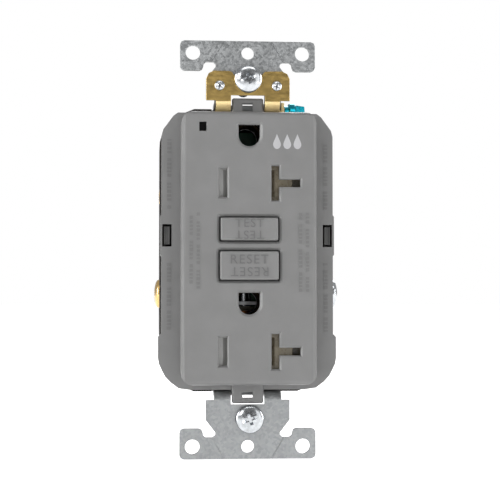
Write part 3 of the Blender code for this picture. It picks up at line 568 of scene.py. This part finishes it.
def build_cover():
    cover = copy_of("front_cover", "cover")
    round_face_edge(cover)
    tools = []
    for name in OUTLETS:
        z = outlet_z[name]
        ground = ground_outline((0.0, ground_z[name]))
        tools += [
            flared("hot_rim_" + name, rectangle(HOT_SLOT, (-BLADE_X, z)), SLOT_RIM),
            flared("neutral_rim_" + name, t_outline((BLADE_X, z)), SLOT_RIM),
            flared("ground_rim_" + name, ground, GROUND_RIM),
        ]
    for name, size in BUTTON_OPENING.items():
        tools.append(flared(name + "_rim", rounded(size, 0.4, button_at[name]), BUTTON_RIM))
    modify(cover, "DIFFERENCE", *tools)
    settle(cover, *tools)
    even_out(cover, MOULDING_ANGLE)
    finish_piece(cover, "cover", "device", "front_cover")


def build_arm_floors():
    """The floor behind the tip of each T slot's arm, past the end of its shutter."""
    for name in OUTLETS:
        edge = limits("neutral_shutter_" + name)[1]
        z = outlet_z[name]
        floor = block(
            "arm_floor_" + name, (edge.x - 0.6, edge.x + 2.3), (edge.y + 0.25, edge.y + 0.6),
            (z - 1.3, z + 1.3),
        )
        finish_piece(floor, "khaki", "device")


def text_piece(name, words, size, centre, flipped, body, front):
    """Raised lettering of a given width and height on a front face."""
    curve = bpy.data.curves.new(name, "FONT")
    curve.body = words
    curve.align_x = "CENTER"
    curve.align_y = "CENTER"
    curve.extrude = 0.5
    curve.space_character = 1.15
    item = bpy.data.objects.new(name, curve)
    bpy.context.scene.collection.objects.link(item)
    bpy.context.view_layer.update()
    graph = bpy.context.evaluated_depsgraph_get()
    mesh = bpy.data.meshes.new_from_object(item.evaluated_get(graph))
    bpy.data.objects.remove(item, do_unlink=True)
    xs = [vertex.co.x for vertex in mesh.vertices]
    ys = [vertex.co.y for vertex in mesh.vertices]
    middle_x = (min(xs) + max(xs)) / 2
    middle_y = (min(ys) + max(ys)) / 2
    wide = size[0] * MM / (max(xs) - min(xs))
    tall = size[1] * MM / (max(ys) - min(ys))
    for vertex in mesh.vertices:
        vertex.co.x = (vertex.co.x - middle_x) * wide
        vertex.co.y = (vertex.co.y - middle_y) * tall
        vertex.co.z *= 2 * LETTER_HEIGHT * MM
    made = bpy.data.objects.new(name, mesh)
    made.matrix_world = (
        Matrix.Translation(Vector((centre[0], front, centre[1])) * MM)
        @ FACING_FRONT
        @ Matrix.Rotation(math.pi if flipped else 0.0, 4, "Z")
    )
    bpy.context.scene.collection.objects.link(made)
    # Painted shade: the letters take the darker grey that stands in for the shade at their edges
    finish_piece(made, "letter", body)


def build_buttons():
    """A cap, a skirt that stops it behind the cover and a shaft, with its word both ways up."""
    for name, (letters, size) in BUTTON_WORD.items():
        body = name + "_button"
        low, high = limits(body)
        z = button_at[name][1]
        wide, tall = BUTTON_CAP[name]
        button = block(
            name + "_cap", (-wide / 2, wide / 2), (low.y, low.y + BUTTON_CAP_DEPTH),
            (z - tall / 2, z + tall / 2), 0.4, 4,
        )
        soften(button, 0.0)
        skirt = block(
            name + "_skirt", (low.x, high.x),
            (low.y + BUTTON_SKIRT[0], low.y + BUTTON_SKIRT[1]), (low.z, high.z), 0.1, 1,
        )
        modify(button, "UNION", skirt)
        settle(button, skirt)
        radius = BUTTON_SHAFT_RADIUS[name]
        start = low.y + BUTTON_SHAFT_START
        shaft = cone(
            name + "_shaft", (radius, radius), high.y - start, (0, (start + high.y) / 2, z),
            TURN["-Y"],
        )
        modify(button, "UNION", shaft)
        settle(button, shaft)
        soften(button, 0.0)
        finish_piece(button, "button", body, body)
        gap = size[1] / 2 + WORD_GAP
        text_piece(name + "_word", letters, size, (0.0, z + gap), False, body, low.y)
        text_piece(name + "_word_turned", letters, size, (0.0, z - gap), True, body, low.y)


def build_hook_faces():
    """The ribbed ends of the housing's snap hooks, seen through the flange's windows."""
    for side in (-1, 1):
        for number, (start, end, front) in enumerate(HOOK_RIBS):
            x = sorted((side * start, side * end))
            name = "hook_face_%d_%d" % (side > 0, number)
            face = block(name, x, (front, HOOK_BACK_Y), HOOK_Z, 0.05, 1)
            finish_piece(face, "hook", "device")


def build_small_marks():
    """Plain raised dashes where a device carries its fine print."""
    columns = []
    for x in (-PRINT_X[1], -PRINT_X[0], *PRINT_X):
        columns.append((x, PRINT_TOP, PRINT_BOTTOM, 0.62, FACE_Y))
    flange_x = cover_high.x - FLANGE_PRINT_INSET
    for x in (-flange_x, flange_x):
        for top in FLANGE_PRINT_TOPS:
            columns.append((x, top, top - FLANGE_PRINT_LENGTH, 0.8, FLANGE_Y))
    for number, (x, top, bottom, tall, front) in enumerate(columns):
        bm = bmesh.new()
        z = top
        step = 0
        while z > bottom:
            long = 0.45 + 0.35 * ((step * 7 + number * 3) % 4) / 3
            if (step * 5 + number) % 6:
                corners = add_cube(bm, (tall * 1.3, 0.16, long))
                place = Vector((x, front - 0.02, z - long / 2)) * MM
                bmesh.ops.translate(bm, vec=place, verts=corners)
            z -= long + 0.35
            step += 1
        marks = place_mesh("fine_print_%d" % number, bm)
        # Painted shade: the dashes take the darker grey that stands in for the shade at their edges
        finish_piece(marks, "fine_print", "device")


def build_weather_mark():
    """Three printed drops, a plain symbol for outdoor use."""
    wide, tall, tip = DROP_SIZE
    for number, x in enumerate(DROP_X):
        points = []
        for step in range(28):
            angle = 2 * math.pi * step / 28
            pull = max(math.sin(angle), 0.0) ** 2
            points.append((
                x + wide * math.cos(angle) * (1 - 0.75 * pull),
                DROP_Z + tall * math.sin(angle) + tip * pull,
            ))
        drop = layered(
            "weather_drop_%d" % number, ((points, FACE_Y - 0.03), (points, FACE_Y + 0.05)),
        )
        finish_piece(drop, "white_ink", "device")


# ---------------------------------------------------------------- housing


def build_housing():
    """The tub with its back panel, wire funnels, strip gauge and side ribs moulded in."""
    tub = copy_of("rear_housing", "housing")
    high = limits("rear_housing")[1]
    panel = (high.y - 0.3, high.y + 1.0)
    tools = [
        block("label_recess", LABEL_X, panel, LABEL_Z, 0.2, 1),
        block("strip_gauge", GAUGE_X, (high.y - 0.35, high.y + 1.0), GAUGE_Z, 0.2, 1),
    ]
    for number, x in enumerate((-BACK_GROOVE_X, BACK_GROOVE_X)):
        tools.append(block("back_groove_%d" % number, (x - 0.3, x + 0.3), panel, BACK_GROOVE_Z))
    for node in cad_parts:
        if not node.startswith("clamp_plate_"):
            continue
        centre = middle(node)
        x = math.copysign(WIRE_HOLE_X, centre.x)
        for lift in (-WIRE_HOLE_LIFT, WIRE_HOLE_LIFT):
            where = (x, high.y - 0.3, centre.z + lift)
            tools.append(cone("funnel", (2.1, 1.2), 1.2, where, TURN["-Y"], 40))
    for side in (-1, 1):
        x = sorted((side * (high.x - 0.3), side * (high.x + 1.0)))
        for z in RIB_Z:
            tools.append(block("side_groove", x, RIB_Y, (z - 0.35, z + 0.35)))
    modify(tub, "DIFFERENCE", *tools)
    settle(tub, *tools)
    even_out(tub, MOULDING_ANGLE)
    finish_piece(tub, "housing", "device", "rear_housing")


# ---------------------------------------------------------------- metal parts


def build_strap():
    """The mounting strap, with the lines along which its ears break off."""
    strap = copy_of("strap", "strap_sheet")
    front = limits("strap")[0].y
    tools = []
    for end in (1, -1):
        for side in (1, -1):
            start = Vector((side * SCORE_START[0], 0.0, end * SCORE_START[1]))
            stop = Vector((side * SCORE_END[0], 0.0, end * SCORE_END[1]))
            along = stop - start
            bm = bmesh.new()
            add_cube(bm, (SCORE_WIDTH, SCORE_DEPTH, along.length))
            turn = Euler((0.0, math.atan2(along.x, along.z), 0.0))
            where = (start + stop) / 2 + Vector((0.0, front, 0.0))
            tools.append(place_mesh("score", bm, where, turn))
    modify(strap, "DIFFERENCE", *tools)
    settle(strap, *tools)
    soften(strap, 0.16, 2)
    finish_piece(strap, "strap", "device", "strap")


def build_ground_plate():
    """The brass plate, with a painted highlight: lighter brass on the faces where its two legs bend
    back.
    """
    plate = copy_of("ground_plate", "brass_ground_plate")
    bend_top = middle("rivet_left").z - BEND_BELOW_RIVETS
    soften(plate, 0.12, 2)
    finish_piece(plate, "brass", "device", "ground_plate")
    # Painted highlight: the front faces of the leg bends get the lighter brass
    plate.data.materials.append(LOOKS["brass_painted_highlight"])
    for face in plate.data.polygons:
        if face.center.z / MM < bend_top and face.normal.y < -0.05:
            face.material_index = 1


def turned(name, profile, location, turn, steps=56):
    """A profile of radius and height, top to bottom, turned about the local Z axis."""
    bm = bmesh.new()
    corners = [bm.verts.new((radius * MM, 0.0, height * MM)) for radius, height in profile]
    for start, end in zip(corners, corners[1:]):
        bm.edges.new((start, end))
    item = place_mesh(name, bm, location, turn)
    screw = item.modifiers.new("turn", "SCREW")
    screw.steps = steps
    screw.render_steps = steps
    screw.use_merge_vertices = True
    screw.merge_threshold = 0.000001
    return settle(item)


def thread_profile(radius, start, end, pitch, depth=0.22):
    """Ridges down a shank, from start to end, as points of a turned profile."""
    points = []
    z = start
    while z - pitch > end:
        points += [(radius - depth, z), (radius, z - pitch / 2)]
        z -= pitch
    points.append((radius - depth, z))
    return points


def dome(radius, height, rim, steps=8):
    """A shallow domed head above a straight rim, from the centre outwards."""
    points = []
    for step in range(steps + 1):
        angle = math.pi / 2 * step / steps
        points.append((radius * math.sin(angle), rim + (height - rim) * math.cos(angle)))
    points.append((radius, 0.12))
    points.append((radius - 0.12, 0.0))
    return points


def recess(name, width, length, depth, location, turn, slot):
    """A tapered cross, and a straight slot through it, for a screwdriver."""
    tools = []
    bars = [(width, length, depth, 0.0), (width, length, depth, math.pi / 2)]
    if slot:
        bars.append((width * 0.85, slot, depth * 0.45, 0.0))
    for index, (wide, long, deep, spin) in enumerate(bars):
        bm = bmesh.new()
        corners = add_cube(bm, (long, wide, deep * 2))
        for vertex in corners:
            if vertex.co.z < 0:
                vertex.co.x *= 0.45
                vertex.co.y *= 0.7
        bmesh.ops.rotate(bm, verts=corners, matrix=Matrix.Rotation(spin + 0.35, 3, "Z"))
        tools.append(place_mesh("%s_%d" % (name, index), bm, location, turn))
    return tools


def build_screw(node, name, look, head, shank, direction, slot):
    """A machine screw with a domed head, standing where the CAD screw stands."""
    low, high = limits(node)
    centre = (low + high) / 2
    radius, height = head
    if direction == "-Y":
        seat = Vector((centre.x, low.y + height, centre.z))
        tip = seat.y - high.y
        top = seat + Vector((0.0, -height, 0.0))
    else:
        sign = 1 if direction == "+X" else -1
        outer = high.x if sign > 0 else low.x
        inner = low.x if sign > 0 else high.x
        seat = Vector((outer - sign * height, centre.y, centre.z))
        tip = -abs(seat.x - inner)
        top = Vector((outer, centre.y, centre.z))
    profile = dome(radius, height, height * 0.42)
    profile += thread_profile(shank, -0.1, tip + 0.7, THREAD_PITCH)
    profile += [(shank - 0.7, tip), (0.0, tip)]
    screw = turned(name, profile, seat, TURN[direction])
    turn = TURN[direction]
    tools = recess(name + "_tool", 0.95, radius * 1.15, height * 0.75, top, turn, slot)
    modify(screw, "DIFFERENCE", *tools)
    settle(screw, *tools)
    soften(screw, 0.05, 2, 40.0)
    finish_piece(screw, look, node, node)


def build_screws():
    for end in ("upper", "lower"):
        build_screw(
            "mounting_screw_" + end, "box_screw_" + end, "zinc", MOUNTING_HEAD, 1.7, "-Y", 6.0,
        )
    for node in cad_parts:
        if node.startswith("terminal_screw_"):
            hot = "hot" in node
            build_screw(
                node, node.replace("terminal_screw", "side_screw"),
                "bright_brass" if hot else "zinc", TERMINAL_HEAD, 1.9, "-X" if hot else "+X", 7.4,
            )


def build_ground_screw():
    """A hexagonal head with a slot on a round washer, and a short threaded shank."""
    low, high = limits("ground_screw")
    centre = (low + high) / 2
    radius = (high.z - low.z) / 2
    seat_x = high.x - 4.0
    tip = low.x - seat_x
    washer = (
        (0.0, 1.8), (radius * 0.9, 1.8), (radius, 1.5), (radius, 0.3), (radius - 0.3, 0.0),
        (radius - 0.7, 0.0), (radius - 0.7, -1.0), (1.5, -1.05), (1.75, -1.4), (1.5, -1.8),
        (1.3, tip), (0.0, tip),
    )
    screw = turned("green_screw", washer, (seat_x, centre.y, centre.z), TURN["+X"])
    head = cone(
        "hex_head", (radius * 0.97, radius * 0.86), 2.9, (high.x - 1.45, centre.y, centre.z),
        TURN["+X"], 6,
    )
    modify(screw, "UNION", head)
    settle(screw, head)
    tools = recess(
        "green_tool", 0.9, 3.6, 1.2, (high.x, centre.y, centre.z), TURN["+X"], radius * 2.2,
    )
    modify(screw, "DIFFERENCE", *tools)
    settle(screw, *tools)
    soften(screw, 0.15, 3, 25.0)
    finish_piece(screw, "teal", "ground_screw", "ground_screw")


def build_rivets():
    """Low domed heads with three staking marks across them."""
    for side in ("left", "right"):
        low, high = limits("rivet_" + side)
        centre = (low + high) / 2
        radius = (high.x - low.x) / 2
        profile = [(0.0, 0.55)] + dome(radius, 1.0, 0.35)[2:]
        profile += [(0.7, 0.0), (0.7, -2.5), (0.0, -2.5)]
        where = Vector((centre.x, low.y + 1.0, centre.z))
        rivet = turned("rivet_head_" + side, profile, where, TURN["-Y"], 40)
        tools = []
        for third in range(3):
            bm = bmesh.new()
            corners = add_cube(bm, (radius * 1.5, 0.22, 1.0))
            spin = Matrix.Rotation(0.3 + third * math.pi / 3, 3, "Z")
            bmesh.ops.rotate(bm, verts=corners, matrix=spin)
            tools.append(place_mesh("stake", bm, where + Vector((0.0, -1.0, 0.0)), TURN["-Y"]))
        modify(rivet, "DIFFERENCE", *tools)
        settle(rivet, *tools)
        soften(rivet, 0.04, 2, 40.0)
        finish_piece(rivet, "zinc", "device", "rivet_" + side)


# ---------------------------------------------------------------- CAD nodes kept as they are

# Look and edge rounding of each
KEPT = {
    "mid_frame": ("housing", 0.2),
    "screw_retainer_upper": ("housing", 0.1), "screw_retainer_lower": ("housing", 0.1),
    "indicator_lens": ("lens", 0.1), "indicator_lamp": ("lamp", 0.2),
    "hot_shutter_upper": ("hot_shutter", 0.15), "hot_shutter_lower": ("hot_shutter", 0.15),
    "neutral_shutter_upper": ("khaki", 0.25), "neutral_shutter_lower": ("khaki", 0.25),
    "hot_contact_strip": ("bright_brass", 0.08), "neutral_contact_strip": ("bright_brass", 0.08),
    # The ground contacts take the near-black brass, painted shade
    "ground_contact_upper": ("dark_brass", 0.08), "ground_contact_lower": ("dark_brass", 0.08),
    "test_spring": ("bright_brass", 0.05), "reset_spring": ("steel", 0.0),
    "plunger_spring": ("steel", 0.0), "shutter_spring_upper": ("steel", 0.0),
    "shutter_spring_lower": ("steel", 0.0), "circuit_board": ("board", 0.1),
    "sensing_toroid": ("copper", 0.4), "neutral_toroid": ("copper", 0.4),
    "solenoid_bobbin": ("ivory", 0.1), "solenoid_coil": ("copper", 0.1),
    "solenoid_frame": ("steel", 0.12), "plunger": ("zinc", 0.15), "latch_plate": ("steel", 0.08),
    "contact_carriage": ("ivory", 0.15), "moving_contact_hot": ("bright_brass", 0.1),
    "moving_contact_neutral": ("bright_brass", 0.1), "varistor": ("blue", 0.5),
    "capacitor": ("red", 0.3), "control_chip": ("chip", 0.1), "thyristor": ("chip", 0.15),
    "resistor": ("tan", 0.3),
}


def dress_kept_nodes():
    for node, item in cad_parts.items():
        look = KEPT.get(node)
        if look is None and node.startswith("terminal_plate_"):
            look = ("bright_brass" if "hot" in node else "steel", 0.12)
        if look is None and node.startswith("clamp_plate_"):
            look = ("steel", 0.12)
        if look is None:
            continue
        paint(item, look[0])
        if look[1]:
            weld = item.modifiers.new("weld", "WELD")
            weld.merge_threshold = 0.000002
        soften(item, look[1], 2)


# ---------------------------------------------------------------- studio


def soft_light(name, location, size, power):
    light = bpy.data.lights.new(name, "AREA")
    light.shape = "RECTANGLE"
    light.size = size[0]
    light.size_y = size[1]
    light.energy = power
    item = bpy.data.objects.new(name, light)
    item.location = location
    item.rotation_euler = (-Vector(location)).to_track_quat("-Z", "Y").to_euler()
    bpy.context.scene.collection.objects.link(item)


def build_studio():
    """A white floor just under the object, a white room and soft lights around it."""
    bm = bmesh.new()
    bmesh.ops.create_grid(bm, x_segments=1, y_segments=1, size=12.0)
    floor = place_mesh("floor", bm, (0.0, 0.0, cad_low.z / MM - 0.15))
    look = Nodes("pale_floor")
    stops = ((0.3, (0.90, 0.90, 0.90)), (0.7, (0.93, 0.93, 0.93)))
    look.link(look.ramp(look.noise(6.0), stops), look.shader.inputs["Base Color"])
    look.shader.inputs["Roughness"].default_value = 0.6
    look.shader.inputs["Specular IOR Level"].default_value = 0.0
    look.shader.inputs["Emission Color"].default_value = (1.0, 1.0, 1.0, 1.0)
    look.shader.inputs["Emission Strength"].default_value = 0.68
    floor.data.materials.append(look.material)
    build_sky()
    for name, (location, size, power) in LIGHTS.items():
        soft_light(name, location, size, power)
    bpy.context.scene.view_settings.view_transform = "Standard"


def build_sky():
    """A white room that is dimmer towards the front, as behind a photographer."""
    world = bpy.data.worlds.new("studio")
    bpy.context.scene.world = world
    world.use_nodes = True
    tree = world.node_tree
    place = tree.nodes.new("ShaderNodeTexCoord")
    split = tree.nodes.new("ShaderNodeSeparateXYZ")
    tree.links.new(place.outputs["Generated"], split.inputs["Vector"])
    fade = tree.nodes.new("ShaderNodeMapRange")
    fade.inputs["From Min"].default_value = -1.0
    fade.inputs["From Max"].default_value = -0.2
    fade.inputs["To Min"].default_value = 0.16
    fade.inputs["To Max"].default_value = 0.42
    tree.links.new(split.outputs["Y"], fade.inputs["Value"])
    path = tree.nodes.new("ShaderNodeLightPath")
    seen = tree.nodes.new("ShaderNodeMath")
    seen.operation = "MAXIMUM"
    tree.links.new(fade.outputs["Result"], seen.inputs[0])
    tree.links.new(path.outputs["Is Camera Ray"], seen.inputs[1])
    sky = tree.nodes["Background"]
    sky.inputs["Color"].default_value = (1.0, 1.0, 1.0, 1.0)
    tree.links.new(seen.outputs["Value"], sky.inputs["Strength"])


def build_camera():
    data = bpy.data.cameras.new("camera")
    data.sensor_width = 36.0
    data.lens = CAMERA_LENS
    camera = bpy.data.objects.new("camera", data)
    camera.location = Vector(CAMERA_PLACE) * MM
    aim = Vector(CAMERA_AIM) * MM - camera.location
    camera.rotation_euler = aim.to_track_quat("-Z", "Y").to_euler()
    data.clip_start = 0.01
    bpy.context.scene.collection.objects.link(camera)
    bpy.context.scene.camera = camera


build_cover()
build_arm_floors()
build_buttons()
build_hook_faces()
build_small_marks()
build_weather_mark()
build_housing()
build_strap()
build_ground_plate()
build_screws()
build_ground_screw()
build_rivets()
dress_kept_nodes()
build_studio()
build_camera()
